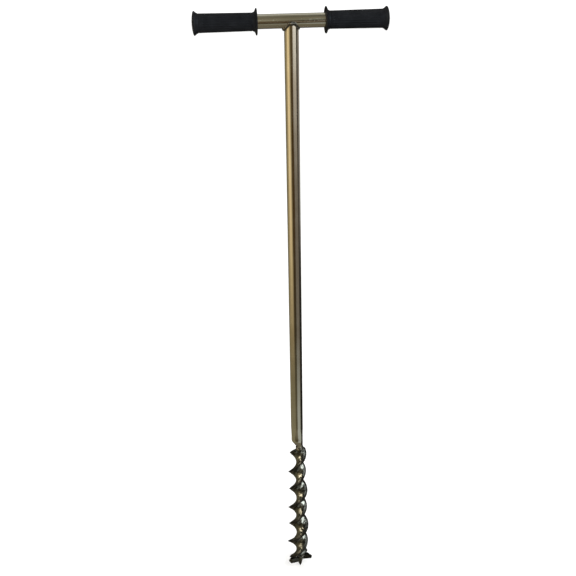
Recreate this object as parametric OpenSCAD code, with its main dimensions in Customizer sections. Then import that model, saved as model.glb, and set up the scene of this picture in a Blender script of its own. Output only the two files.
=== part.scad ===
// T-handle soil auger: a plated steel tube with a welded crossbar and two rubber
// hand grips, and a twisted steel bit that ends in two cutting lips and a centre point.
// Origin: on the shaft's centre line, level with the tip of the centre point. +Z runs
// up the shaft, +X along the right grip.

/* [Handle] */
// Height of the crossbar's centre line above the tip
handle_z = 1200; // [1100:10:1300]
// Width of the handle over the outer ends of both grips
handle_w = 334; // [320:1:380]
// Outside diameter of the crossbar tube
crossbar_d = 24; // [20:0.5:25]
// Wall of the crossbar tube
crossbar_wall = 2; // [1.5:0.5:3]

/* [Grips] */
// Length of one grip
grip_len = 109; // [100:1:116]
// Diameter over the ribs of a grip's body
grip_d = 30.5; // [29:0.5:34]
// Diameter of the flange at a grip's inner end
inner_flange_d = 44; // [40:1:50]
// Diameter of the flange at a grip's outer end
outer_flange_d = 40; // [37:1:44]
// Number of lengthwise ribs round a grip
rib_count = 24; // [12:2:30]
// Height of a rib above the floor between the ribs
rib_height = 0.8; // [0.4:0.1:1.2]

/* [Shaft] */
// Outside diameter of the shaft tube
shaft_d = 25; // [24:0.5:27]
// Wall of the shaft tube
shaft_wall = 2.5; // [2:0.5:3]
// Length of the swaged cone at the tube's lower end
swage_len = 22; // [18:1:26]
// Outside diameter at the foot of the swaged cone
swage_foot_d = 14; // [13:0.5:16]
// Distance of the cone's foot from the shaft's centre line, towards +X
swage_shift = 5; // [3:0.5:6]
// Length of the bit's tang inside the straight part of the tube
tang_len = 45; // [30:5:80]

/* [Bit] */
// Height of the bit's upper end, under the tube, above the tip
bit_top_z = 332; // [315:1:345]
// Height of the twisted bar's lower end above the tip
bit_base_z = 33; // [32:1:36]
// Rise of the bar in one full turn
lead = 97.2; // [90:0.2:110]
// Width of the bar at its upper end
bar_top_w = 37; // [34:0.5:40]
// Greatest thickness of the bar at its upper end
bar_top_t = 7.1; // [6:0.1:8]
// Width of the bar at its lower end
bar_base_w = 47.2; // [44:0.2:50]
// Greatest thickness of the bar at its lower end
bar_base_t = 12; // [9:0.5:13]
// Distance of the bar's middle from the centre line, towards its second flight
bar_shift = 1; // [0:0.1:1.5]
// Direction of the bar's first flight at its lower end, in degrees from +X
bar_angle = 196; // [0:1:359]
// Bend between the two halves of the bar's section, in degrees
bar_cup = 11; // [0:1:12]

/* [Cutting head] */
// Distance of the head's centre from the shaft's centre line, towards +X
head_shift = 3.5; // [0:0.5:4]
// Diameter of the hub under the bar
hub_d = 17; // [15:0.5:18]
// Radius from the head's centre to the outer corner of a cutting lip
lip_reach = 28; // [25:0.5:29]
// Height of a lip's cutting edge above the tip
lip_foot_z = 18; // [17:0.5:19]
// Height of the right lip's heel above the tip
right_heel_z = 29; // [27:0.5:30]
// Direction of the right lip's cutting edge, in degrees from +X
right_lip_angle = -2; // [-8:1:12]
// Direction of the left lip's cutting edge, in degrees from +X
left_lip_angle = 190; // [180:1:196]
// Diameter of the centre point at its base
point_d = 9.4; // [8:0.2:10]
// Length of the centre point below the hub
point_len = 16; // [14:1:16]

/* [Hidden] */
$fn = 64;

plated = [0.72, 0.68, 0.58];
forged = [0.27, 0.27, 0.25];
weld_grey = [0.36, 0.34, 0.32];
rubber_black = [0.09, 0.09, 0.10];
plug_grey = [0.22, 0.22, 0.23];
cut = 1;                                  // overshoot of a cutting shape past the face it cuts

grip_end_wall = 3;                        // closed outer end of a grip, on its axis
grip_reach = handle_w / 2;                // outer end of a grip from the centre line
crossbar_len = handle_w - 2 * grip_end_wall;
crossbar_bore_d = crossbar_d - 2 * crossbar_wall;
plug_len = 10;
plug_face = 2;                            // thickness of a plug's closed face
plug_wall = 2;

flange_edge = 2;                          // thickness of the inner flange at its rim
flange_slope = 6;                         // length of the cone from a flange to the body
rim_round = 0.6;
cone_bulge = 1.2;                         // a flange's cone is this much fuller half way down
dome_len = 4;                             // height of the domed outer end
collar_len = 12;                          // smooth band between the inner flange and the ribs
outer_collar_len = 16;                    // smooth band and dome at the outer end
rib_w = 2.2;

shaft_bore_d = shaft_d - 2 * shaft_wall;
swage_top_z = bit_top_z + swage_len;
swage_tilt = atan(swage_shift / swage_len);
swage_blend = 6;                          // the leaning cone runs on this far past the swage
ear_drop = 3;                             // the coped end stops this far below the crossbar's centre
weld_leg = 5;                             // leg of the fillet weld round the crossbar joint
tang_gap = 0.05;                          // slip fit of the tang in the tube

bar_len = bit_top_z - bit_base_z;
bar_slices = 140;
bar_sides = 30;                           // points round the bar's section
web_share = 0.72;                         // thickness in the middle, as a share of the greatest
bevel_start = 0.7;                        // a flight's bevel starts at this share of its reach
edge_share = 0.16;                        // thickness of a flight's edge, as a share of the greatest
neck_d = 16;                              // round neck on the bit's upper end
neck_len = 5.5;
neck_root_len = 13;                       // cone in which the neck fades into the bar
shoulder_len = 27;                        // length in which the flights reach their full width
neck_bead_r = 1.4;

hub_foot_z = point_len;
hub_cone_len = 8;                         // tapered foot of the hub
hub_bead = 2;                             // leg of the fillet between the hub and the bar
stub_d = 6;                               // part of the centre point held inside the hub
stub_len = 12;
point_tip_r = 0.5;
lip_face = 6.5;                           // height of the ground face behind the cutting edge
lip_chord = 10.5;                         // width of a lip, from its cutting edge to its back
lip_relief = 3;                           // rise of a lip's underside from its edge to its back
right_heel = 8;                           // distance of the right lip's heel from its edge
left_heel = 4;
right_tip = 9;                            // outer stretch of the right lip, in which it gets lower
right_wear = 15;                          // stretch of its back corner that is worn away
left_tip = 3.5;
left_wear = 4;
lip_bead = 1.6;                           // leg of the fillet between a lip and the hub

// --- Handle -------------------------------------------------------------------

// Solid bar along X through the crossbar's centre line.
module along_crossbar(d, len) {
    translate([0, 0, handle_z]) rotate([0, 90, 0]) cylinder(d = d, h = len, center = true);
}

module crossbar_tube() {
    color(plated) difference() {
        along_crossbar(crossbar_d, crossbar_len);
        along_crossbar(crossbar_bore_d, crossbar_len + 2 * cut);
    }
}

// Places a shape that is drawn along +Z, with z = 0 at the grip's inner end, on one
// side of the handle: side = 1 is the right grip and side = -1 the left one.
module on_side(side) {
    translate([side * (grip_reach - grip_len), 0, handle_z]) rotate([0, side * 90, 0]) children();
}

// Half outline of a grip without its ribs: radius, then distance from the inner end.
module grip_outline() {
    floor_r = grip_d / 2 - rib_height;
    collar_r = grip_d / 2;
    inner_r = inner_flange_d / 2;
    outer_r = outer_flange_d / 2;
    rim_at = grip_len - dome_len;
    polygon(concat(
        [
            [crossbar_d / 2, 0],
            [inner_r - rim_round, 0],
            [inner_r, flange_edge / 2],
            [inner_r - rim_round, flange_edge],
            [collar_r + cone_bulge, flange_edge + flange_slope / 2],
            [collar_r, flange_edge + flange_slope],
            [collar_r, collar_len],
            [floor_r, collar_len + rib_height],
            [floor_r, grip_len - outer_collar_len],
            [collar_r, grip_len - outer_collar_len + rib_height],
            [collar_r, rim_at - flange_slope],
            [collar_r + cone_bulge, rim_at - flange_slope / 2]
        ],
        [for (a = [0 : 15 : 90]) [outer_r * cos(a), rim_at + dome_len * sin(a)]],
        [[0, grip_len - grip_end_wall], [crossbar_d / 2, grip_len - grip_end_wall]]
    ));
}

module grip(side) {
    color(rubber_black) on_side(side) {
        rotate_extrude() grip_outline();
        difference() {
            translate([0, 0, collar_len])
                linear_extrude(grip_len - collar_len - outer_collar_len + rib_height) rib_star();
            translate([0, 0, -cut]) cylinder(d = grip_d - 4 * rib_height, h = grip_len);
        }
    }
}

// Ring of rib sections, each a narrow block whose top is rounded to the grip's diameter.
module rib_star() {
    intersection() {
        circle(d = grip_d);
        for (i = [0 : rib_count - 1]) rotate(i * 360 / rib_count) translate([grip_d / 4, -rib_w / 2])
            square([grip_d / 4 + 1, rib_w]);
    }
}

module left_grip() { grip(-1); }
module right_grip() { grip(1); }

// Cup-shaped plug pressed into one end of the crossbar, open towards the middle.
module end_plug(side) {
    color(plug_grey) on_side(side) translate([0, 0, grip_len - grip_end_wall - plug_len]) difference() {
        cylinder(d = crossbar_bore_d, h = plug_len);
        translate([0, 0, -cut])
            cylinder(d = crossbar_bore_d - 2 * plug_wall, h = plug_len - plug_face + cut);
    }
}

module left_end_plug() { end_plug(-1); }
module right_end_plug() { end_plug(1); }

// Fillet weld round the saddle where the shaft meets the crossbar: the part of a short
// flared collar that lies outside both tubes.
module handle_weld() {
    weld_len = crossbar_d / 2 + weld_leg;
    color(weld_grey) difference() {
        intersection() {
            translate([0, 0, handle_z - weld_len])
                cylinder(r1 = shaft_d / 2 + 1, r2 = shaft_d / 2 + weld_leg, h = weld_len - ear_drop);
            along_crossbar(crossbar_d + 2 * weld_leg, crossbar_len);
        }
        along_crossbar(crossbar_d, crossbar_len + 2 * cut);
        translate([0, 0, handle_z - 2 * weld_len]) cylinder(d = shaft_d, h = 2 * weld_len);
    }
}

// --- Shaft --------------------------------------------------------------------

// Leaning cone that bounds the swaged end; inset moves its wall inwards.
module swage_cone(inset) {
    foot_r = swage_foot_d / 2 - inset;
    rise_per_mm = (shaft_d - swage_foot_d) / 2 / swage_len;
    run = swage_len + 2 * swage_blend;
    translate([swage_shift, 0, bit_top_z]) rotate([0, -swage_tilt, 0]) translate([0, 0, -swage_blend])
        cylinder(r1 = foot_r - swage_blend * rise_per_mm, r2 = foot_r + run * rise_per_mm,
            h = run + swage_blend);
}

// Everything inside the swaged tube's outer surface, moved inwards by inset, between
// two heights.
module swaged_rod(inset, base_z, top_z) {
    straight_z = swage_top_z + swage_blend;
    intersection() {
        translate([0, 0, base_z]) cylinder(d = shaft_d - 2 * inset, h = straight_z - base_z);
        swage_cone(inset);
    }
    translate([0, 0, straight_z - cut]) cylinder(d = shaft_d - 2 * inset, h = top_z - straight_z + cut);
}

module shaft_tube() {
    color(plated) difference() {
        swaged_rod(0, bit_top_z, handle_z - ear_drop);
        swaged_rod(shaft_wall, bit_top_z - cut, handle_z + cut);
        along_crossbar(crossbar_d, crossbar_len);
    }
}

// Solid tang of the bit: it fills the swaged end and the first stretch of the bore.
module bit_tang() {
    color(forged) swaged_rod(shaft_wall + tang_gap, bit_top_z, swage_top_z + tang_len);
}

// Round bead that closes the tube's foot on the top of the bit.
module neck_weld() {
    color(weld_grey) difference() {
        translate([swage_shift, 0, bit_top_z]) intersection() {
            rotate_extrude() translate([swage_foot_d / 2, 0]) circle(r = neck_bead_r);
            cylinder(r = swage_foot_d, h = neck_bead_r);
        }
        swage_cone(0);
    }
}

// --- Bit ----------------------------------------------------------------------

function turned(p, a) = [p.x * cos(a) - p.y * sin(a), p.x * sin(a) + p.y * cos(a)];

// Outline of one flight's bevelled edge, at the given reach, turned to its direction.
function flight_edge(reach, a) = [
    for (p = [
        [bevel_start * reach, -bar_base_t / 2],
        [reach, -edge_share * bar_base_t / 2],
        [reach, edge_share * bar_base_t / 2],
        [bevel_start * reach, bar_base_t / 2]
    ]) turned(p, a)
];

// Section of the bar at its lower end, first flight along +X. It is thinner in the
// middle than at its bevels, and its two halves are bent towards each other by bar_cup.
module bar_section() {
    web_r = web_share * bar_base_t / 2;
    polygon(concat(
        flight_edge(bar_base_w / 2 - bar_shift, 0),
        [turned([web_r, 0], 90 + bar_cup / 2)],
        flight_edge(bar_base_w / 2 + bar_shift, 180 + bar_cup),
        [turned([web_r, 0], 270 + bar_cup / 2)]
    ));
}

// Space that the forged upper end of the bar stays in: it opens from the round neck to
// more than the flights' full width, along a curve that is steepest at the neck.
module bar_shoulder() {
    full_r = bar_base_w / 2 + swage_shift + 2;
    flights_top_z = bit_top_z - neck_len;
    translate([swage_shift, 0, 0]) rotate_extrude() polygon(concat(
        [[0, bit_base_z - cut], [full_r, bit_base_z - cut]],
        [for (s = [1 : -0.125 : 0])
            [neck_d / 2 + (full_r - neck_d / 2) * s, flights_top_z - shoulder_len * s * s]],
        [[neck_d / 2, bit_top_z], [0, bit_top_z]]
    ));
}

// Round neck in line with the tube's foot, fading into the bar in a cone.
module bar_neck() {
    translate([swage_shift, 0, bit_top_z - neck_len]) cylinder(d = neck_d, h = neck_len);
    translate([swage_shift, 0, bit_top_z - neck_len - neck_root_len])
        cylinder(d1 = 1, d2 = neck_d, h = neck_root_len);
}

// Right-handed twisted bar, wider and thicker towards its lower end.
module twisted_bar() {
    color(forged) {
        intersection() {
            translate([0, 0, bit_base_z]) rotate(bar_angle)
                linear_extrude(bar_len, twist = -360 * bar_len / lead, slices = bar_slices,
                    scale = [bar_top_w / bar_base_w, bar_top_t / bar_base_t], $fn = bar_sides)
                    bar_section();
            bar_shoulder();
        }
        bar_neck();
    }
}

// --- Cutting head -------------------------------------------------------------

module on_head(turn) {
    translate([head_shift, 0, 0]) rotate(turn) children();
}

// Solid outline of the hub, grown outwards by extra.
module hub_body(extra) {
    hub_r = hub_d / 2 + extra;
    translate([0, 0, hub_foot_z]) cylinder(r1 = point_d / 2 + extra, r2 = hub_r, h = hub_cone_len);
    translate([0, 0, hub_foot_z + hub_cone_len])
        cylinder(r = hub_r, h = bit_base_z - hub_foot_z - hub_cone_len);
}

module cutter_hub() {
    color(forged) on_head(0) difference() {
        hub_body(0);
        translate([0, 0, hub_foot_z - cut]) cylinder(d = stub_d, h = stub_len + cut);
    }
}

// Planform of a lip: its cutting edge is on the X axis and faces -Y.
module lip_planform(wear) {
    polygon([
        [0, 0],
        [lip_reach - 3, 0],
        [lip_reach, 2.5],
        [lip_reach - wear, lip_chord],
        [0, lip_chord]
    ]);
}

// Front view of a lip: radius, then height. The lip gets lower towards its tip.
module lip_front(heel_z, tip) {
    polygon([
        [0, lip_foot_z],
        [lip_reach - 3, lip_foot_z],
        [lip_reach, lip_foot_z + lip_face - 2],
        [lip_reach - 1, lip_foot_z + lip_face],
        [lip_reach - tip, heel_z],
        [0, heel_z]
    ]);
}

// Side view of a lip: distance behind the cutting edge, then height. The edge is a
// steep ground face, and the top rises behind it to the heel.
module lip_side(heel_z, heel) {
    polygon([
        [0, lip_foot_z],
        [1, lip_foot_z + lip_face],
        [heel, heel_z],
        [lip_chord, heel_z],
        [lip_chord, lip_foot_z + lip_relief]
    ]);
}

// One lip before its root is fitted to the hub.
module lip_block(heel_z, heel, tip, wear) {
    intersection() {
        translate([0, 0, lip_foot_z - cut]) linear_extrude(heel_z) lip_planform(wear);
        translate([0, 2 * lip_chord, 0]) rotate([90, 0, 0]) linear_extrude(3 * lip_chord)
            lip_front(heel_z, tip);
        rotate([90, 0, 90]) linear_extrude(lip_reach + cut) lip_side(heel_z, heel);
    }
}

module right_lip_block() {
    on_head(right_lip_angle) lip_block(right_heel_z, right_heel, right_tip, right_wear);
}

// The left lip is higher than the right one: it reaches up to the bar.
module left_lip_block() {
    on_head(left_lip_angle) lip_block(bit_base_z, left_heel, left_tip, left_wear);
}

module right_lip() {
    color(forged) difference() {
        right_lip_block();
        on_head(0) hub_body(0);
    }
}

module left_lip() {
    color(forged) difference() {
        left_lip_block();
        on_head(0) hub_body(0);
    }
}

// Fillet along the joint of a lip, given as the child, and the hub: the part of a
// thicker hub that is also in the raised lip, and is outside both.
module lip_weld() {
    difference() {
        intersection() {
            translate([0, 0, lip_bead]) children();
            on_head(0) hub_body(lip_bead);
        }
        children();
        on_head(0) hub_body(0);
    }
}

module lip_welds() {
    color(weld_grey) {
        lip_weld() right_lip_block();
        lip_weld() left_lip_block();
    }
}

// Fillet under the bar's lower face, round the top of the hub. It stops at the left lip,
// which reaches up to the bar.
module hub_weld() {
    foot_z = bit_base_z - hub_bead;
    color(weld_grey) difference() {
        on_head(0) translate([0, 0, foot_z])
            cylinder(r1 = hub_d / 2, r2 = hub_d / 2 + hub_bead, h = hub_bead);
        on_head(0) translate([0, 0, foot_z - cut]) cylinder(d = hub_d, h = hub_bead + 2 * cut);
        for (rise = [0, lip_bead]) translate([0, 0, rise]) left_lip_block();
    }
}

// Ground centre point, rounded like a shell, with a round stub that is held in the hub.
module centre_point() {
    swell_r = point_d / 2 - point_tip_r;
    color(forged) on_head(0) rotate_extrude() polygon(concat(
        [[0, 0]],
        [for (s = [0 : 0.125 : 1]) [point_tip_r + swell_r * (1 - (1 - s) * (1 - s)), point_len * s]],
        [[stub_d / 2, point_len], [stub_d / 2, point_len + stub_len], [0, point_len + stub_len]]
    ));
}

crossbar_tube();
shaft_tube();
handle_weld();
left_grip();
right_grip();
left_end_plug();
right_end_plug();
bit_tang();
neck_weld();
twisted_bar();
hub_weld();
cutter_hub();
left_lip();
right_lip();
lip_welds();
centre_point();
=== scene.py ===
import math

import bmesh
import bpy
import numpy as np
from mathutils import Matrix, Vector


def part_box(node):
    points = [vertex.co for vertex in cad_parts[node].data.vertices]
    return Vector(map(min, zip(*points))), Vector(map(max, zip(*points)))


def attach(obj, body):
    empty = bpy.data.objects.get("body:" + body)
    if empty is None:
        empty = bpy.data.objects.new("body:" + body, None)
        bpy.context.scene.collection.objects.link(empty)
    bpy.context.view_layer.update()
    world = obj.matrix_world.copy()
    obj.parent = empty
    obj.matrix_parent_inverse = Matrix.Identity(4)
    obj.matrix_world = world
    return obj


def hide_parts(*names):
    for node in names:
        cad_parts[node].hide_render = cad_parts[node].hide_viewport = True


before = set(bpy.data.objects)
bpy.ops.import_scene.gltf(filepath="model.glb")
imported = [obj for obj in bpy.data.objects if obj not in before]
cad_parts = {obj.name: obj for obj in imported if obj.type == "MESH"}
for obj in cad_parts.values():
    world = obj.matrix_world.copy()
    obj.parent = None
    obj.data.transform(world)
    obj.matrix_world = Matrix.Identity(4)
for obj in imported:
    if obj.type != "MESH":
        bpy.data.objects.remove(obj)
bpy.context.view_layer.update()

MM = 0.001
TURN = 2 * math.pi
SAME_POINT = 0.0001 * MM

# ---------------------------------------------------------------- sizes, in metres

# Handle, read from the frame.
CROSSBAR_LOW, CROSSBAR_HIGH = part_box("crossbar_tube")
CROSSBAR_R = (CROSSBAR_HIGH.z - CROSSBAR_LOW.z) / 2
CROSSBAR_Z = (CROSSBAR_HIGH.z + CROSSBAR_LOW.z) / 2
CROSSBAR_WALL = 2 * MM
GRIP_LOW, GRIP_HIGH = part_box("right_grip")
GRIP_LEN = GRIP_HIGH.x - GRIP_LOW.x
GRIP_REACH = GRIP_HIGH.x
INNER_FLANGE_R = (GRIP_HIGH.z - GRIP_LOW.z) / 2
OUTER_FLANGE_R = INNER_FLANGE_R - 2 * MM
GRIP_R = 15.25 * MM
GRIP_TAPER = 0.4 * MM
FLANGE_SLOPE = 5.2 * MM
DOME_LEN = 4 * MM
RIB_COUNT = 24
RIB_HEIGHT = 0.6 * MM

# Shaft, read from the frame. Its swaged foot stands to one side of its centre line.
SHAFT_LOW, SHAFT_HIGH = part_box("shaft_tube")
SHAFT_R = -SHAFT_LOW.x
SHAFT_WALL = 2.5 * MM
EAR_DROP = CROSSBAR_Z - SHAFT_HIGH.z
NECK_WELD_LOW, NECK_WELD_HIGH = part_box("neck_weld")
SWAGE_SHIFT = (NECK_WELD_LOW.x + NECK_WELD_HIGH.x) / 2
SWAGE_FOOT_R = 7 * MM
SWAGE_LEN = 22 * MM
SHAFT_SIDES = 160
COPED_LEN = 22 * MM
# Shallow dents round the swaged foot, one of them facing the front.
FLUTE_COUNT = 3
FLUTE_ANGLE = math.radians(-92)
FLUTE_LEN = 56 * MM
FLUTE_DEPTH = 1.6 * MM

# Bit: the twisted bar's section and lead are the design's, its ends are the frame's.
BAR_LOW, BAR_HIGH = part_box("twisted_bar")
BAR_BASE_Z = BAR_LOW.z
BAR_TOP_Z = BAR_HIGH.z
BAR_LEAD = 97.2 * MM
BAR_TOP_W, BAR_TOP_T = 37 * MM, 7.1 * MM
BAR_BASE_W, BAR_BASE_T = 47.2 * MM, 12 * MM
BAR_SHIFT = 1 * MM
BAR_ANGLE = math.radians(196)
BAR_CUP = math.radians(11)
BEVEL_START = 0.7
NECK_R = 8 * MM
NECK_LEN = 5.5 * MM
NECK_ROOT_LEN = 13 * MM
SHOULDER_LEN = 27 * MM
# The bar is darker towards its foot: how far up, and how strongly at the very foot.
FOOT_DARK_LEN = 50 * MM
FOOT_DARK_SHARE = 0.7
BAR_RINGS = 760

# Cutting head, read from the frame; its lips have the design's outline.
HUB_LOW, HUB_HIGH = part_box("cutter_hub")
HEAD_SHIFT = (HUB_LOW.x + HUB_HIGH.x) / 2
HUB_R = (HUB_HIGH.x - HUB_LOW.x) / 2
HUB_FOOT_Z = HUB_LOW.z
HUB_CONE_LEN = 8 * MM
POINT_LOW, POINT_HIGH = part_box("centre_point")
POINT_R = (POINT_HIGH.x - POINT_LOW.x) / 2
STUB_R = 3 * MM
LIP_FOOT_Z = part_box("right_lip")[0].z
LIP_REACH = 28 * MM
LIP_CHORD = 10.5 * MM
LIP_FACE = 6.5 * MM
LIP_RELIEF = 3 * MM
LIP_NOSE = 3 * MM
LIP_GRIND = 1.2 * MM
# Each lip: name, direction, heel height and place, length of its low tip, worn back corner.
LIPS = (("right_lip", math.radians(-2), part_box("right_lip")[1].z, 8 * MM, 9 * MM, 15 * MM),
        ("left_lip", math.radians(190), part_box("left_lip")[1].z - 0.2 * MM, 4 * MM, 3.5 * MM, 4 * MM))

# Weld beads: their radii, how much the handle's bead swells in its left corner and at the
# tube's ears, how far it hangs below the joint, and the pitch of the ripples.
HANDLE_BEAD_R = 1.9 * MM
CORNER_SWELL = 1.3 * MM
EAR_SWELL = 1.5 * MM
HANDLE_BEAD_DROP = 0.6 * MM
NECK_BEAD_R = 1.1 * MM
HUB_BEAD_R = 1.5 * MM
LIP_BEAD_R = 1.3 * MM
RIPPLE_PITCH = 2.2 * MM


# ---------------------------------------------------------------- mesh helpers

def rounded(points, radius, steps=6):
    """Outline with each inner corner replaced by a curve that starts and ends radius away."""
    points = [np.array(p, float) for p in points]
    out = [points[0]]
    for before, corner, after in zip(points, points[1:], points[2:]):
        back, ahead = before - corner, after - corner
        reach = min(radius, np.linalg.norm(back) / 2, np.linalg.norm(ahead) / 2)
        start = corner + back / np.linalg.norm(back) * reach
        end = corner + ahead / np.linalg.norm(ahead) * reach
        for t in np.linspace(0, 1, steps):
            out.append(start * (1 - t) ** 2 + corner * 2 * t * (1 - t) + end * t ** 2)
    out.append(points[-1])
    return np.array(out)


def resampled(points, step):
    """The same outline with its long stretches cut into pieces of about step, and without
    points that repeat the one before, which would leave faces of no area."""
    out = [points[0]]
    for a, b in zip(points, points[1:]):
        length = np.linalg.norm(b - a)
        if length > SAME_POINT:
            pieces = math.ceil(length / step)
            out.extend(a + (b - a) * k / pieces for k in range(1, pieces + 1))
    return np.array(out)


def ring_faces(rings, sides, closed):
    """Quads that join a stack of rings; closed joins the last ring to the first."""
    faces = []
    for i in range(rings if closed else rings - 1):
        j = (i + 1) % rings
        for k in range(sides):
            m = (k + 1) % sides
            faces.append((i * sides + k, i * sides + m, j * sides + m, j * sides + k))
    return faces


def add_mesh(name, verts, faces, material, sharp_deg=40):
    """Object from vertices and faces, smooth except at edges sharper than sharp_deg."""
    mesh = bpy.data.meshes.new(name)
    mesh.from_pydata([tuple(v) for v in verts], [], faces)
    mesh.validate()
    mesh.shade_smooth()
    mesh.set_sharp_from_angle(angle=math.radians(sharp_deg))
    mesh.materials.append(material)
    obj = bpy.data.objects.new(name, mesh)
    bpy.context.scene.collection.objects.link(obj)
    return obj


def recalc_outward(obj):
    """Points every face of a closed mesh outwards. Blender judges that by one far face,
    which a twisted bar misleads, so the sign of the volume has the last word."""
    bm = bmesh.new()
    bm.from_mesh(obj.data)
    bmesh.ops.recalc_face_normals(bm, faces=bm.faces)
    if bm.calc_volume(signed=True) < 0:
        bmesh.ops.reverse_faces(bm, faces=bm.faces)
    bm.to_mesh(obj.data)
    bm.free()
    return obj


def stacked_rings(name, rings, material, closed=False, capped=True, sharp_deg=40):
    """Solid skin through a list of equal rings of points, with flat or no end caps."""
    rings = np.asarray(rings, float)
    count, sides = rings.shape[:2]
    faces = ring_faces(count, sides, closed)
    verts = list(rings.reshape(-1, 3))
    if capped and not closed:
        for first in (0, (count - 1) * sides):
            centre = len(verts)
            verts.append(rings.reshape(-1, 3)[first:first + sides].mean(0))
            faces += [(first + k, first + (k + 1) % sides, centre) for k in range(sides)]
    return recalc_outward(add_mesh(name, verts, faces, material, sharp_deg))


def lathe(name, outline, place, material, sides=128, closed=False, bulge=None, sharp_deg=40):
    """Skin of an outline of (radius, distance) turned about +Z, then moved by place.
    bulge(radius, distance, angles) may return extra radius for each angle."""
    angles = np.arange(sides) * TURN / sides
    rings = []
    for radius, distance in outline:
        reach = radius + (bulge(radius, distance, angles) if bulge else 0 * angles)
        ring = np.stack([reach * np.cos(angles), reach * np.sin(angles), 0 * angles + distance], -1)
        rings.append(ring)
    obj = stacked_rings(name, rings, material, closed=closed, sharp_deg=sharp_deg)
    obj.data.transform(place)
    return recalc_outward(obj)


def along_x(side, x):
    """Places a shape drawn along +Z so that it runs outwards along the handle from x."""
    turn = Matrix.Rotation(side * math.pi / 2, 4, "Y")
    return Matrix.Translation((side * x, 0, CROSSBAR_Z)) @ turn


def bead(name, path, radii, material, closed=True, sides=20):
    """Round bead along a path of points, with its own radius at each point."""
    path = np.asarray(path, float)
    ahead = np.roll(path, -1, 0) - np.roll(path, 1, 0)
    if not closed:
        ahead[0], ahead[-1] = path[1] - path[0], path[-1] - path[-2]
    ahead /= np.linalg.norm(ahead, axis=1)[:, None]
    up = np.array([0, 0, 1.0])
    rings = []
    for p, direction, radius in zip(path, ahead, radii):
        side = np.cross(direction, up)
        side /= np.linalg.norm(side)
        lift = np.cross(side, direction)
        turn = np.arange(sides) * TURN / sides
        rings.append(p + radius * (np.cos(turn)[:, None] * side + np.sin(turn)[:, None] * lift))
    return stacked_rings(name, rings, material, closed=closed)


def ripple(count, length, phase=0.0):
    """Relative radius of a weld bead at count points along that length."""
    ripples = np.arange(count) * length / count / RIPPLE_PITCH
    wave = np.abs(np.sin(math.pi * ripples + phase + 0.5 * np.sin(TURN * ripples / 7)))
    return 1 + 0.10 * wave + 0.06 * np.sin(TURN * ripples / 5 + phase)


def round_weld(name, node, centre_x, reach, z, radius, count, phase, material):
    """Rippled bead in a level circle round a piece."""
    angles = np.arange(count) * TURN / count
    path = [(centre_x + reach * math.cos(a), reach * math.sin(a), z) for a in angles]
    weld = bead(name, path, radius * ripple(count, TURN * reach, phase), material)
    finish_piece(weld, "weld_metal", node)


def on_head(turn=0.0):
    """Places a shape drawn about the Z axis on the cutting head."""
    return Matrix.Translation((HEAD_SHIFT, 0, 0)) @ Matrix.Rotation(turn, 4, "Z")


def finish_piece(obj, slot, *nodes):
    """Puts a piece on the tool's only body, in the place of its CAD nodes."""
    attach(obj, "root")
    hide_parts(*nodes)
    return obj


# ---------------------------------------------------------------- material helpers

class Nodes:
    """Short calls for building one material's node tree."""

    def __init__(self, name):
        self.material = bpy.data.materials.new(name)
        self.material.use_nodes = True
        self.tree = self.material.node_tree
        self.shader = self.tree.nodes["Principled BSDF"]

    def add(self, kind, **settings):
        node = self.tree.nodes.new(kind)
        for key, value in settings.items():
            setattr(node, key, value)
        return node

    def link(self, source, target):
        self.tree.links.new(source, target)

    def set(self, **values):
        for key, value in values.items():
            self.shader.inputs[key.replace("_", " ")].default_value = value

    def coordinates(self, scale):
        """Object coordinates, stretched by a scale for each axis."""
        place = self.add("ShaderNodeTexCoord")
        stretch = self.add("ShaderNodeMapping")
        stretch.inputs["Scale"].default_value = scale
        self.link(place.outputs["Object"], stretch.inputs["Vector"])
        return stretch.outputs["Vector"]

    def noise(self, scale, detail=4.0, stretch=(1, 1, 1)):
        node = self.add("ShaderNodeTexNoise")
        node.inputs["Scale"].default_value = scale
        node.inputs["Detail"].default_value = detail
        self.link(self.coordinates(stretch), node.inputs["Vector"])
        return node.outputs["Fac"]

    def ramp(self, source, stops):
        """Colour ramp; stops are (position, grey or colour)."""
        node = self.add("ShaderNodeValToRGB")
        elements = node.color_ramp.elements
        while len(elements) < len(stops):
            elements.new(0.5)
        for element, (position, value) in zip(elements, stops):
            element.position = position
            colour = (value, value, value) if isinstance(value, (int, float)) else value
            element.color = (*colour, 1)
        self.link(source, node.inputs["Fac"])
        return node.outputs["Color"]

    def mix(self, factor, first, second, blend="MIX"):
        node = self.add("ShaderNodeMix", data_type="RGBA", blend_type=blend)
        for socket, value in (("Factor", factor), ("A", first), ("B", second)):
            target = next(i for i in node.inputs if i.name == socket and i.enabled)
            if hasattr(value, "default_value"):
                self.link(value, target)
            else:
                target.default_value = value
        return next(o for o in node.outputs if o.enabled)

    def bump(self, height, strength, distance, after=None):
        node = self.add("ShaderNodeBump")
        node.inputs["Strength"].default_value = strength
        node.inputs["Distance"].default_value = distance
        self.link(height, node.inputs["Height"])
        if after is not None:
            self.link(after, node.inputs["Normal"])
        return node.outputs["Normal"]

    def wire(self, name, source):
        self.link(source, self.shader.inputs[name])


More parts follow.
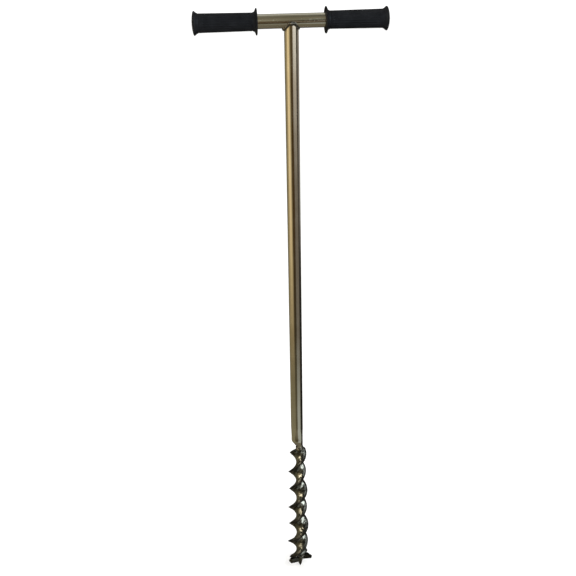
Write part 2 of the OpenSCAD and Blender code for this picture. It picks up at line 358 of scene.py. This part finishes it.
def plated_steel(name, grain):
    """Bright plating over drawn tube: fine lines along the tube, faint clouds and specks.
    grain stretches the noise along the tube's own axis."""
    n = Nodes(name)
    n.set(Metallic=1.0)
    lines = n.noise(900, 2, grain)
    clouds = n.noise(28, 5)
    specks = n.noise(420, 6)
    warm = n.ramp(clouds, [(0.3, (0.84, 0.81, 0.75)), (0.7, (0.92, 0.90, 0.85))])
    spotted = n.ramp(specks, [(0.24, 0.6), (0.34, 1.0)])
    n.wire("Base Color", n.mix(1.0, warm, spotted, "MULTIPLY"))
    dull = n.ramp(clouds, [(0.25, 0.10), (0.75, 0.17)])
    streak = n.ramp(lines, [(0.3, 0.8), (0.7, 1.25)])
    n.wire("Roughness", n.mix(1.0, dull, streak, "MULTIPLY"))
    n.wire("Normal", n.bump(lines, 0.10, 0.0003, n.bump(specks, 0.03, 0.0002)))
    return n.material


def forged_steel(name, light, dark):
    """Worn steel: polished by soil on the faces, darker where dirt stays. The point attribute
    "dark", where a mesh has it, marks painted shade on bevels and a darker foot, near black and dull."""
    n = Nodes(name)
    n.set(Metallic=1.0)
    clouds = n.noise(60, 6)
    grit = n.noise(700, 4)
    scratches = n.noise(1300, 3, (1, 1, 0.15))
    colour = n.ramp(clouds, [(0.3, dark), (0.65, light)])
    # Painted shade: the "dark" attribute mixes the bevels towards near black, and it also darkens the
    # bar's foot.
    bevel_shade_and_dark_foot = n.add("ShaderNodeAttribute", attribute_name="dark").outputs["Fac"]
    colour_with_bevel_shade_and_dark_foot = n.mix(bevel_shade_and_dark_foot, colour, (0.035, 0.034, 0.032, 1))
    n.wire("Base Color", colour_with_bevel_shade_and_dark_foot)
    rough = n.ramp(grit, [(0.3, 0.15), (0.7, 0.28)])
    n.wire("Roughness", n.mix(bevel_shade_and_dark_foot, rough, (0.5, 0.5, 0.5, 1)))
    dents = n.bump(n.noise(85, 2), 0.8, 0.0028)
    n.wire("Normal", n.bump(scratches, 0.10, 0.0004, n.bump(grit, 0.10, 0.0004, dents)))
    return n.material


def weld_metal(name):
    """Grey bead metal, clouded by its own heat."""
    n = Nodes(name)
    n.set(Metallic=1.0)
    clouds = n.noise(180, 6)
    n.wire("Base Color", n.ramp(clouds, [(0.3, (0.06, 0.057, 0.052)), (0.7, (0.30, 0.29, 0.27))]))
    n.wire("Roughness", n.ramp(clouds, [(0.3, 0.42), (0.7, 0.28)]))
    n.wire("Normal", n.bump(n.noise(900, 4), 0.25, 0.0005))
    return n.material


def grip_rubber(name):
    """Black moulded rubber: a fine grain, and grey where hands have rubbed it."""
    n = Nodes(name)
    grain = n.noise(2600, 3)
    wear = n.noise(55, 5)
    black, rubbed = (0.0050, 0.0051, 0.0062), (0.0105, 0.0108, 0.0125)
    n.wire("Base Color", n.ramp(wear, [(0.35, black), (0.75, rubbed)]))
    n.wire("Roughness", n.ramp(wear, [(0.3, 0.46), (0.7, 0.62)]))
    n.wire("Normal", n.bump(grain, 0.25, 0.0003))
    n.set(Specular_IOR_Level=0.16, Specular_Tint=(0.72, 0.86, 1.0, 1))
    return n.material


def moulded_plastic(name):
    """Dark plastic of the push-in plugs."""
    n = Nodes(name)
    dark, pale = (0.03, 0.03, 0.032), (0.05, 0.05, 0.052)
    n.wire("Base Color", n.ramp(n.noise(90, 4), [(0.3, dark), (0.7, pale)]))
    n.wire("Roughness", n.ramp(n.noise(500, 3), [(0.3, 0.45), (0.7, 0.6)]))
    return n.material


# ---------------------------------------------------------------- handle

def build_crossbar(material):
    inner = CROSSBAR_R - CROSSBAR_WALL
    half = CROSSBAR_HIGH.x
    bevel = 0.4 * MM
    outline = [(inner, -half), (CROSSBAR_R - bevel, -half), (CROSSBAR_R, -half + bevel),
               (CROSSBAR_R, half - bevel), (CROSSBAR_R - bevel, half), (inner, half)]
    outline = resampled(np.array(outline, float), 8 * MM)
    place = along_x(1, 0)
    tube = lathe("crossbar_tube_skin", outline, place, material, closed=True)
    finish_piece(tube, "plated_steel", "crossbar_tube")


def grip_outline():
    """Radius and distance from the grip's inner end, from the inner bore to the outer face."""
    rim_at = GRIP_LEN - DOME_LEN
    cone_foot = rim_at - FLANGE_SLOPE - 1 * MM
    slim, full = GRIP_R - GRIP_TAPER, GRIP_R + GRIP_TAPER
    inner = [(CROSSBAR_R, 0), (INNER_FLANGE_R - 2 * MM, 0),
             (INNER_FLANGE_R - 0.2 * MM, 0.2 * MM), (INNER_FLANGE_R, 0.7 * MM),
             (INNER_FLANGE_R, 1.6 * MM), (INNER_FLANGE_R - 0.9 * MM, 2.3 * MM),
             (slim + 1.6 * MM, 4.2 * MM), (slim + 0.3 * MM, 2 * MM + FLANGE_SLOPE),
             (slim - 0.3 * MM, 2.6 * MM + FLANGE_SLOPE), (slim, 3.4 * MM + FLANGE_SLOPE)]
    outer = [(full, cone_foot - 1.4 * MM), (full - 0.4 * MM, cone_foot - 0.6 * MM),
             (full + 0.4 * MM, cone_foot), (full + 1.4 * MM, cone_foot + 0.5 * FLANGE_SLOPE),
             (OUTER_FLANGE_R - 1.0 * MM, rim_at - 1.6 * MM),
             (OUTER_FLANGE_R - 0.2 * MM, rim_at - 0.4 * MM)]
    dome = [(OUTER_FLANGE_R * math.cos(a), rim_at + DOME_LEN * math.sin(a))
            for a in np.linspace(0.1, 0.49 * math.pi, 16)]
    return resampled(rounded(inner + outer + dome, 0.9 * MM), 0.9 * MM)


def rib_relief(radius, distance, angles):
    """Depth of the grooves between the lengthwise ribs, with smooth bands at both ends."""
    fade = 1.5 * MM
    first, last = 12 * MM, GRIP_LEN - 17 * MM
    window = np.clip((distance - first) / fade, 0, 1) * np.clip((last - distance) / fade, 0, 1)
    wave = 0.5 + 0.5 * np.cos(RIB_COUNT * angles)
    flat_top = wave * wave * (3 - 2 * wave)
    return -window * RIB_HEIGHT * (1 - flat_top)


def build_grip(side, name, node, material):
    place = along_x(side, GRIP_REACH - GRIP_LEN)
    sides = RIB_COUNT * 12
    grip = lathe(name, grip_outline(), place, material, sides=sides, bulge=rib_relief, sharp_deg=50)
    finish_piece(grip, "grip_rubber", node)


def saddle_z(y):
    """Height of the crossbar's underside above a point y away from its centre line."""
    reach = math.sqrt(max(CROSSBAR_R ** 2 - y ** 2, 0))
    return CROSSBAR_Z - max(reach, EAR_DROP)


def build_handle_weld(material):
    """Rippled fillet round the saddle joint: heavier in the left corner, and raised on the
    front and the back, where it climbs from the tube's ears on to the crossbar."""
    count = 360
    angles = np.arange(count) * TURN / count
    path, radii = [], []
    for a in angles:
        x, y = SHAFT_R * math.cos(a), SHAFT_R * math.sin(a)
        leftness = max(-math.cos(a), 0) ** 3
        ear = abs(math.sin(a)) ** 6
        out = 1.0 + 0.02 * leftness - 0.05 * ear
        path.append((x * out, y * out, saddle_z(y) - HANDLE_BEAD_DROP))
        radii.append(HANDLE_BEAD_R + CORNER_SWELL * leftness + EAR_SWELL * ear)
    length = TURN * SHAFT_R * 1.4
    weld = bead("handle_weld_bead", path, np.array(radii) * ripple(count, length), material)
    finish_piece(weld, "weld_metal", "handle_weld")


# ---------------------------------------------------------------- shaft

def swage(z):
    """Centre shift and radius of the tube at height z: the foot is drawn in on one side."""
    t = np.clip((z - BAR_TOP_Z) / SWAGE_LEN, 0, 1)
    ease = t * t * (3 - 2 * t)
    return SWAGE_SHIFT * (1 - ease), SWAGE_FOOT_R + (SHAFT_R - SWAGE_FOOT_R) * ease


def flutes(z, angles):
    """Depth of the dents round the swaged foot at each angle: deepest halfway up them."""
    t = np.clip((z - BAR_TOP_Z) / FLUTE_LEN, 0, 1)
    wave = 0.5 + 0.5 * np.cos(FLUTE_COUNT * (angles - FLUTE_ANGLE))
    return FLUTE_DEPTH * math.sin(math.pi * t) ** 2 * wave


def build_shaft(material):
    """Tube in level rings from its dented foot up, then in rings that bend to the saddle."""
    angles = np.arange(SHAFT_SIDES) * TURN / SHAFT_SIDES
    top = SHAFT_HIGH.z - COPED_LEN
    heights = list(np.linspace(BAR_TOP_Z, BAR_TOP_Z + FLUTE_LEN, 80))
    heights += list(np.linspace(heights[-1], top, 60))[1:]
    outer, inner = [], []
    for z in heights:
        shift, radius = swage(z)
        for ring, r in ((outer, radius - flutes(z, angles)), (inner, radius - SHAFT_WALL)):
            x, y = shift + r * np.cos(angles), r * np.sin(angles)
            ring.append(np.stack([x, y, 0 * angles + z], -1))
    for t in np.linspace(0, 1, 9)[1:]:
        for ring, r in ((outer, SHAFT_R), (inner, SHAFT_R - SHAFT_WALL)):
            x, y = r * np.cos(angles), r * np.sin(angles)
            edge = np.array([saddle_z(v) for v in y])
            ring.append(np.stack([x, y, top + (edge - top) * t], -1))
    tube = stacked_rings("shaft_tube_skin", outer + inner[::-1], material, closed=True)
    finish_piece(tube, "plated_steel", "shaft_tube")


def build_neck_weld(material):
    reach = SWAGE_FOOT_R + 0.1 * MM
    round_weld("neck_weld_bead", "neck_weld", SWAGE_SHIFT, reach, BAR_TOP_Z,
               NECK_BEAD_R, 160, 0.7, material)


# ---------------------------------------------------------------- bit

def flight(reach, half_t):
    """Outline of one flight from its root, over its bevelled edge and back, and how far
    each point lies on the bevel (0 on the faces, 1 at the edge)."""
    across = np.linspace(0.15, BEVEL_START, 9)
    face = [(reach * a, half_t * (0.72 + 0.28 * math.sin(a / BEVEL_START * math.pi / 2)))
            for a in across]
    down = np.linspace(0, 1, 6)[1:]
    bevel = [(reach * (BEVEL_START + (1 - BEVEL_START) * d) - 0.3 * MM * d,
              half_t * (1 - 0.88 * d ** 1.15)) for d in down]
    half = face + bevel
    land = [0.0] * (len(face) - 1) + [0.35] + list(0.55 + 0.45 * down)
    lower = [(x, -y) for x, y in half]
    return lower + [(reach, 0.0)] + half[::-1], land + [1.0] + land[::-1]


def hammered(z, phase):
    """Slow uneven stretch along the bar, as forging leaves it."""
    waves = ((31 * MM, 0.5), (17.3 * MM, 0.3), (9.1 * MM, 0.2))
    return sum(share * math.sin(TURN * z / length + phase * (k + 1))
               for k, (length, share) in enumerate(waves))


def bar_ring(z):
    """Points of the bar's section at height z, and how far each lies on a bevel."""
    t = (z - BAR_BASE_Z) / (BAR_TOP_Z - BAR_BASE_Z)
    width = BAR_BASE_W + (BAR_TOP_W - BAR_BASE_W) * t
    half_t = (BAR_BASE_T + (BAR_TOP_T - BAR_BASE_T) * t) / 2
    turn = BAR_ANGLE + TURN * (z - BAR_BASE_Z) / BAR_LEAD
    points, lands = [], []
    for side, (reach, bend) in enumerate(((width / 2 - BAR_SHIFT, 0.0),
                                          (width / 2 + BAR_SHIFT, math.pi + BAR_CUP))):
        worn_reach = reach * (1 + 0.008 * hammered(z, 1.7 + side))
        outline, land = flight(worn_reach, half_t * (1 + 0.05 * hammered(z, 0.4 + 2 * side)))
        c, s = math.cos(turn + bend), math.sin(turn + bend)
        points += [(x * c - y * s, x * s + y * c) for x, y in outline]
        lands += land
    return np.array(points), lands


def build_bar(material):
    """Right-handed twisted bar: one ring of section points for each small step upwards.
    Near its top the section is held inside a shoulder that opens from the round neck. The
    point attribute "dark" paints shade on the bevels and marks the foot, which is darker."""
    neck_centre = np.array([SWAGE_SHIFT, 0.0])
    full_r = BAR_BASE_W / 2 + SWAGE_SHIFT
    flights_top = BAR_TOP_Z - NECK_LEN
    rings, dark = [], []
    for z in np.linspace(BAR_BASE_Z, BAR_TOP_Z - 0.5 * MM, BAR_RINGS):
        points, land = bar_ring(z)
        opening = math.sqrt(max(flights_top - z, 0) / SHOULDER_LEN)
        most = NECK_R * 0.98 + (full_r - NECK_R) * opening
        from_neck = points - neck_centre
        reach = np.linalg.norm(from_neck, axis=1)
        points = neck_centre + from_neck * np.minimum(1, most / reach)[:, None]
        rings.append(np.column_stack([points, np.full(len(points), z)]))
        # The bar is darker towards its foot, most at the very foot.
        foot_dark = FOOT_DARK_SHARE * max(0, 1 - (z - BAR_BASE_Z) / FOOT_DARK_LEN)
        # Painted shade on the bevels, weighted by flight(); where the foot's darkening is stronger,
        # that wins.
        dark += [max(value, foot_dark) for value in land]
    bar = stacked_rings("twisted_bar_skin", rings, material, sharp_deg=50)
    marks = bar.data.attributes.new("dark", "FLOAT", "POINT")
    marks.data.foreach_set("value", np.array(dark + [0.0, 0.0], np.float32))
    finish_piece(bar, "tool_steel", "twisted_bar")


def build_bar_neck(material):
    """Round forged neck that the tube's foot is welded to, fading into the bar."""
    top = BAR_TOP_Z
    root = top - NECK_LEN - NECK_ROOT_LEN
    outline = [(0.4 * MM, root), (NECK_R * 0.55, root + NECK_ROOT_LEN * 0.45),
               (NECK_R * 1.06, top - NECK_LEN + 1 * MM), (NECK_R, top - 2 * MM),
               (NECK_R * 0.9, top - 0.2 * MM), (0.4 * MM, top)]
    outline = resampled(rounded(outline, 2 * MM), 0.8 * MM)
    place = Matrix.Translation((SWAGE_SHIFT, 0, 0))
    neck = lathe("twisted_bar_neck", outline, place, material, sides=96)
    finish_piece(neck, "tool_steel", "twisted_bar")


def build_hub(material):
    top, base = HUB_HIGH.z, HUB_FOOT_Z
    outline = [(0.3 * MM, base), (POINT_R + 0.3 * MM, base), (HUB_R - 0.6 * MM, base + HUB_CONE_LEN),
               (HUB_R, base + HUB_CONE_LEN + 2 * MM), (HUB_R, top), (0.3 * MM, top)]
    outline = resampled(rounded(outline, 1.2 * MM), 1.0 * MM)
    hub = lathe("cutter_hub_skin", outline, on_head(), material, sides=96)
    finish_piece(hub, "tool_steel", "cutter_hub")


def build_hub_weld(material):
    round_weld("hub_weld_bead", "hub_weld", HEAD_SHIFT, HUB_R, BAR_BASE_Z - 0.7 * MM,
               HUB_BEAD_R, 180, 1.3, material)


def build_point(material):
    """Centre point, rounded like a shell, with the stub that the hub holds."""
    tip_r = 0.5 * MM
    swell = POINT_R - tip_r
    nose = [(tip_r + swell * (1 - (1 - t) ** 2), HUB_FOOT_Z * t) for t in np.linspace(0, 1, 24)]
    stub = [(STUB_R, HUB_FOOT_Z), (STUB_R, POINT_HIGH.z), (0.3 * MM, POINT_HIGH.z)]
    outline = resampled(np.array([(0.05 * MM, 0)] + nose + stub), 1.0 * MM)
    point = lathe("centre_point_skin", outline, on_head(), material, sides=72)
    finish_piece(point, "cutter_steel", "centre_point")


def lip_planform(worn):
    """Outline of one lip from above: cutting edge along +X, its worn back corner behind it."""
    root = HUB_R - 1.5 * MM
    corners = [(root, 0), (LIP_REACH - LIP_NOSE, 0), (LIP_REACH, 2.5 * MM),
               (LIP_REACH - worn, LIP_CHORD), (root, LIP_CHORD)]
    return resampled(rounded(corners, 1.8 * MM), 0.8 * MM)


def lip_heights(x, y, heel_z, heel, tip):
    """Bottom and top of a lip at a point of its planform."""
    floor_z = LIP_FOOT_Z + LIP_RELIEF * y / LIP_CHORD
    face_top = LIP_FOOT_Z + LIP_FACE
    ground = min(y / LIP_GRIND, 1.0)
    rise = min(max(y - LIP_GRIND, 0) / (heel - LIP_GRIND), 1.0)
    roof_z = LIP_FOOT_Z + LIP_FACE * (0.12 + 0.88 * ground) + (heel_z - face_top) * rise ** 0.85
    towards_tip = min(max((x - (LIP_REACH - tip)) / tip, 0), 1)
    roof_z = roof_z - max(roof_z - face_top, 0) * towards_tip
    pinch = max(x - (LIP_REACH - LIP_NOSE), 0) / LIP_NOSE
    floor_z = floor_z + (roof_z - floor_z) * 0.6 * pinch ** 1.5
    return floor_z, max(roof_z, floor_z + 0.3 * MM)


def build_lip(node, turn, heel_z, heel, tip, worn, material):
    """Wedge with a steep ground face: matched rings of points, from its middle outwards."""
    edge = lip_planform(worn)
    middle = np.array([HUB_R + 4 * MM, LIP_CHORD * 0.45])
    shrunk = [middle + (edge - middle) * k for k in (0.2, 0.4, 0.6, 0.75, 0.87, 0.95, 1.0)]
    lower = [[(x, y, lip_heights(x, y, heel_z, heel, tip)[0]) for x, y in ring] for ring in shrunk]
    upper = [[(x, y, lip_heights(x, y, heel_z, heel, tip)[1]) for x, y in ring] for ring in shrunk]
    lip = stacked_rings(f"{node}_skin", upper + lower[::-1], material, sharp_deg=35)
    lip.data.transform(on_head(turn))
    finish_piece(lip, "cutter_steel", node)


def build_lip_welds(material):
    """One bead along the joint of each lip and the hub, joined into a single piece."""
    count = 60
    beads = []
    for node, turn, heel_z, heel, tip, _ in LIPS:
        place = on_head(turn)
        path = []
        for y in np.linspace(1.5 * MM, HUB_R * 0.8, count):
            x = math.sqrt(HUB_R ** 2 - y ** 2)
            path.append(place @ Vector((x, y, lip_heights(x, y, heel_z, heel, tip)[1])))
        ends = np.sin(np.linspace(0.25, math.pi - 0.25, count)) ** 0.4
        radii = LIP_BEAD_R * ripple(count, LIP_CHORD, len(beads)) * ends
        beads.append(bead(f"{node}_weld_bead", path, radii, material, closed=False))
    with bpy.context.temp_override(active_object=beads[0], selected_editable_objects=beads):
        bpy.ops.object.join()
    beads[0].name = "lip_weld_beads"
    finish_piece(beads[0], "weld_metal", "lip_welds")


# ---------------------------------------------------------------- stage, light and camera

FLOOR_R = 14
FLOOR_DROP = 0.5 * MM


def build_floor():
    """Round pale floor just under the tip, which the metal doesn't mirror."""
    bpy.ops.mesh.primitive_circle_add(vertices=128, radius=FLOOR_R, fill_type="NGON",
                                      location=(0, 0, -FLOOR_DROP))
    floor = bpy.context.object
    floor.name = "pale_floor"
    n = Nodes("pale_floor")
    n.wire("Base Color", n.ramp(n.noise(3, 2), [(0.3, (0.86, 0.86, 0.85)), (0.7, (0.88, 0.88, 0.87))]))
    n.set(Roughness=0.9)
    floor.data.materials.append(n.material)
    floor.visible_glossy = False


def soft_box(name, at, aim, size, watts, colour=(1, 1, 1)):
    """Area light that only lights matt surfaces: the metal mirrors the studio instead."""
    light = bpy.data.lights.new(name, "AREA")
    light.shape = "RECTANGLE"
    light.size, light.size_y = size
    light.energy = watts
    light.color = colour
    obj = bpy.data.objects.new(name, light)
    obj.location = at
    obj.rotation_euler = (Vector(aim) - Vector(at)).to_track_quat("-Z", "Y").to_euler()
    obj.visible_glossy = False
    bpy.context.scene.collection.objects.link(obj)


def srgb(r, g, b):
    """Linear colour of a display colour given in 0 to 255."""
    shares = (r / 255, g / 255, b / 255)
    return tuple(c / 12.92 if c <= 0.04045 else ((c + 0.055) / 1.055) ** 2.4 for c in shares)


# The studio that the metal reflects. WALLS gives its colour at each elevation, in
# degrees. PANELS are soft-edged sheets in front of it: azimuth from and to (0 is behind
# the camera and minus is to its left), elevation from and to, softness, colour, and how
# many times brighter than that colour the sheet is. Their places and colours are tuned
# by comparison with the photo, and fit its one view only. Later sheets hide earlier.
VIEWED_FROM = math.radians(-6.3)
STUDIO_STRENGTH = 1.25
WALLS = [(-90, (92, 86, 72)), (-45, (96, 90, 72)), (-35, (80, 74, 54)), (-27, (50, 42, 26)),
         (-18, (58, 42, 18)), (-10, (54, 40, 16)), (-3, (76, 64, 38)), (7, (102, 92, 68)),
         (17, (130, 122, 100)), (32, (104, 98, 78)), (60, (90, 85, 67)), (85, (106, 102, 86))]
PANELS = {
    "dark_back_left": ((-220, -140), (-55, 35), 16, (34, 32, 26), 1),
    "dim_back_left": ((-145, -105), (-55, 35), 14, (104, 96, 70), 1),
    "dark_back_right": ((78, 220), (-55, 35), 10, (44, 40, 34), 1),
    "pale_high_back_left": ((-220, -120), (34, 74), 16, (158, 157, 144), 1),
    "pale_high_back_right": ((125, 220), (34, 74), 16, (158, 157, 144), 1),
    "tan_wall_left": ((-112, -25), (-29, 1), 12, (140, 124, 90), 1),
    "bright_tan_left": ((-80, -42), (-22, 4), 14, (204, 182, 136), 1),
    "olive_low_left": ((-150, -20), (-60, -32), 8, (112, 106, 82), 1),
    "grey_back_right": ((104, 205), (-20, 4), 10, (124, 118, 108), 1),
    "grey_low_right": ((20, 78), (-30, -12), 8, (96, 88, 76), 1),
    "dim_line_right": ((12.5, 26), (10, 34), 6, (88, 88, 72), 1),
    "grey_sheet_right": ((14, 72), (-13, -2), 8, (150, 140, 124), 1),
    "window_right": ((20, 74), (-7, 6), 6, (212, 209, 198), 1),
    "pale_low_right": ((16, 76), (-50, -31), 8, (146, 148, 138), 1),
    "black_low_right": ((100, 210), (-50, -24), 8, (14, 14, 12), 1),
    "dark_high_left": ((-110, 0), (32, 78), 8, (30, 28, 22), 1),
    "dark_high_right": ((30, 110), (32, 78), 8, (30, 28, 22), 1),
    "dim_left": ((-112, -25), (1, 32), 10, (92, 86, 64), 1),
    "lamp_left": ((-76, -48), (3, 27), 8, (255, 238, 206), 3.2),
    "window_high_right": ((28, 90), (7, 28), 8, (244, 250, 248), 3.6),
    "black_line_right": ((12.5, 23), (-4, 11), 2, (8, 8, 4), 1),
}


def build_world():
    """World that reflections see as the studio and all other rays see as plain white."""
    world = bpy.data.worlds.new("studio")
    bpy.context.scene.world = world
    world.use_nodes = True
    tree = world.node_tree
    tree.nodes.clear()

    def add(kind, **settings):
        node = tree.nodes.new(kind)
        for key, value in settings.items():
            setattr(node, key, value)
        return node

    def maths(operation, *values):
        node = add("ShaderNodeMath", operation=operation)
        for socket, value in zip(node.inputs, values):
            if hasattr(value, "default_value"):
                tree.links.new(value, socket)
            else:
                socket.default_value = value
        return node.outputs[0]

    def rises(angle, at, soft):
        """0 below the angle at and 1 above it, over soft degrees."""
        node = add("ShaderNodeMapRange", interpolation_type="SMOOTHSTEP")
        tree.links.new(angle, node.inputs["Value"])
        node.inputs["From Min"].default_value = at - soft / 2
        node.inputs["From Max"].default_value = at + soft / 2
        return node.outputs["Result"]

    def window(angle, span, soft):
        inside = maths("SUBTRACT", 1.0, rises(angle, span[1], soft))
        return maths("MULTIPLY", rises(angle, span[0], soft), inside)

    direction = add("ShaderNodeTexCoord").outputs["Generated"]
    split = add("ShaderNodeSeparateXYZ")
    tree.links.new(direction, split.inputs[0])
    x, y, z = split.outputs
    turn = maths("ARCTAN2", x, maths("MULTIPLY", y, -1.0))
    wrapped = maths("WRAP", maths("SUBTRACT", turn, VIEWED_FROM), math.pi, -math.pi)
    azimuth = maths("MULTIPLY", wrapped, 180 / math.pi)
    elevation = maths("MULTIPLY", maths("ARCSINE", z), 180 / math.pi)

    walls = add("ShaderNodeValToRGB")
    walls.color_ramp.interpolation = "EASE"
    elements = walls.color_ramp.elements
    while len(elements) < len(WALLS):
        elements.new(0.5)
    for element, (degrees, colour) in zip(elements, WALLS):
        element.position = (degrees + 90) / 180
        element.color = (*srgb(*colour), 1)
    tree.links.new(maths("MULTIPLY_ADD", elevation, 1 / 180, 0.5), walls.inputs["Fac"])
    studio = walls.outputs["Color"]
    for azimuths, elevations, soft, colour, gain in PANELS.values():
        share = maths("MULTIPLY", window(azimuth, azimuths, soft),
                      window(elevation, elevations, soft))
        sheet = add("ShaderNodeMix", data_type="RGBA")
        tree.links.new(share, sheet.inputs[0])
        tree.links.new(studio, sheet.inputs[6])
        sheet.inputs[7].default_value = (*(gain * c for c in srgb(*colour)), 1)
        studio = sheet.outputs[2]

    seen = add("ShaderNodeLightPath")
    glossy = add("ShaderNodeBackground")
    tree.links.new(studio, glossy.inputs["Color"])
    glossy.inputs["Strength"].default_value = STUDIO_STRENGTH
    plain = add("ShaderNodeBackground")
    plain.inputs["Color"].default_value = (1, 1, 1, 1)
    plain.inputs["Strength"].default_value = STUDIO_STRENGTH
    choose = add("ShaderNodeMixShader")
    tree.links.new(seen.outputs["Is Glossy Ray"], choose.inputs[0])
    tree.links.new(plain.outputs[0], choose.inputs[1])
    tree.links.new(glossy.outputs[0], choose.inputs[2])
    out = add("ShaderNodeOutputWorld")
    tree.links.new(choose.outputs[0], out.inputs["Surface"])


# The camera's place and turn, fitted to the photo with the tool's size as in the CAD.
CAMERA_AT = (-0.1514, -1.3607, 1.3237)
CAMERA_YAW = math.radians(5.78)
CAMERA_PITCH = math.radians(24.27)
CAMERA_ROLL = math.radians(1.03)
CAMERA_LENS = 48.2
SENSOR_WIDTH = 36


def build_camera():
    """Camera above the handle, looking down on the tool from its front, a little left."""
    reach, drop = math.cos(CAMERA_PITCH), math.sin(CAMERA_PITCH)
    roll = CAMERA_ROLL
    ahead = Vector((math.sin(CAMERA_YAW) * reach, math.cos(CAMERA_YAW) * reach, -drop))
    level = Vector((math.cos(CAMERA_YAW), -math.sin(CAMERA_YAW), 0))
    down = ahead.cross(level)
    right = level * math.cos(roll) + down * math.sin(roll)
    lower = down * math.cos(roll) - level * math.sin(roll)
    camera = bpy.data.cameras.new("camera")
    camera.lens = CAMERA_LENS
    camera.sensor_width = SENSOR_WIDTH
    obj = bpy.data.objects.new("camera", camera)
    axes = Matrix((right, -lower, -ahead)).transposed().to_4x4()
    obj.matrix_world = Matrix.Translation(CAMERA_AT) @ axes
    bpy.context.scene.collection.objects.link(obj)
    bpy.context.scene.camera = obj


# ---------------------------------------------------------------- assembly

plating_up = plated_steel("plated_steel_up", (1, 1, 0.02))
plating_across = plated_steel("plated_steel_across", (0.02, 1, 1))
tool_steel = forged_steel("tool_steel", (0.36, 0.37, 0.345), (0.115, 0.118, 0.108))
cutter_steel = forged_steel("cutter_steel", (0.15, 0.152, 0.148), (0.045, 0.046, 0.044))
weld = weld_metal("weld_metal")
rubber = grip_rubber("grip_rubber")
plastic = moulded_plastic("plug_plastic")

build_crossbar(plating_across)
build_grip(-1, "left_grip_skin", "left_grip", rubber)
build_grip(1, "right_grip_skin", "right_grip", rubber)
build_handle_weld(weld)
build_shaft(plating_up)
build_neck_weld(weld)
build_bar(tool_steel)
build_bar_neck(tool_steel)
build_hub(tool_steel)
build_hub_weld(weld)
build_point(cutter_steel)
for lip in LIPS:
    build_lip(*lip, cutter_steel)
build_lip_welds(weld)

# Pieces inside the tubes keep their CAD shape.
hidden = (("bit_tang", tool_steel), ("left_end_plug", plastic), ("right_end_plug", plastic))
for node, material in hidden:
    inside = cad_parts[node]
    inside.data.materials.clear()
    inside.data.materials.append(material)

build_floor()
build_world()
soft_box("key", (1.3, -1.6, 2.6), (0, 0, 0.7), (1.4, 1.4), 30)
soft_box("fill", (-1.9, -1.2, 1.4), (0, 0, 0.7), (1.2, 1.8), 10, (1, 0.95, 0.86))
build_camera()

scene = bpy.context.scene
scene.view_settings.view_transform = "Standard"
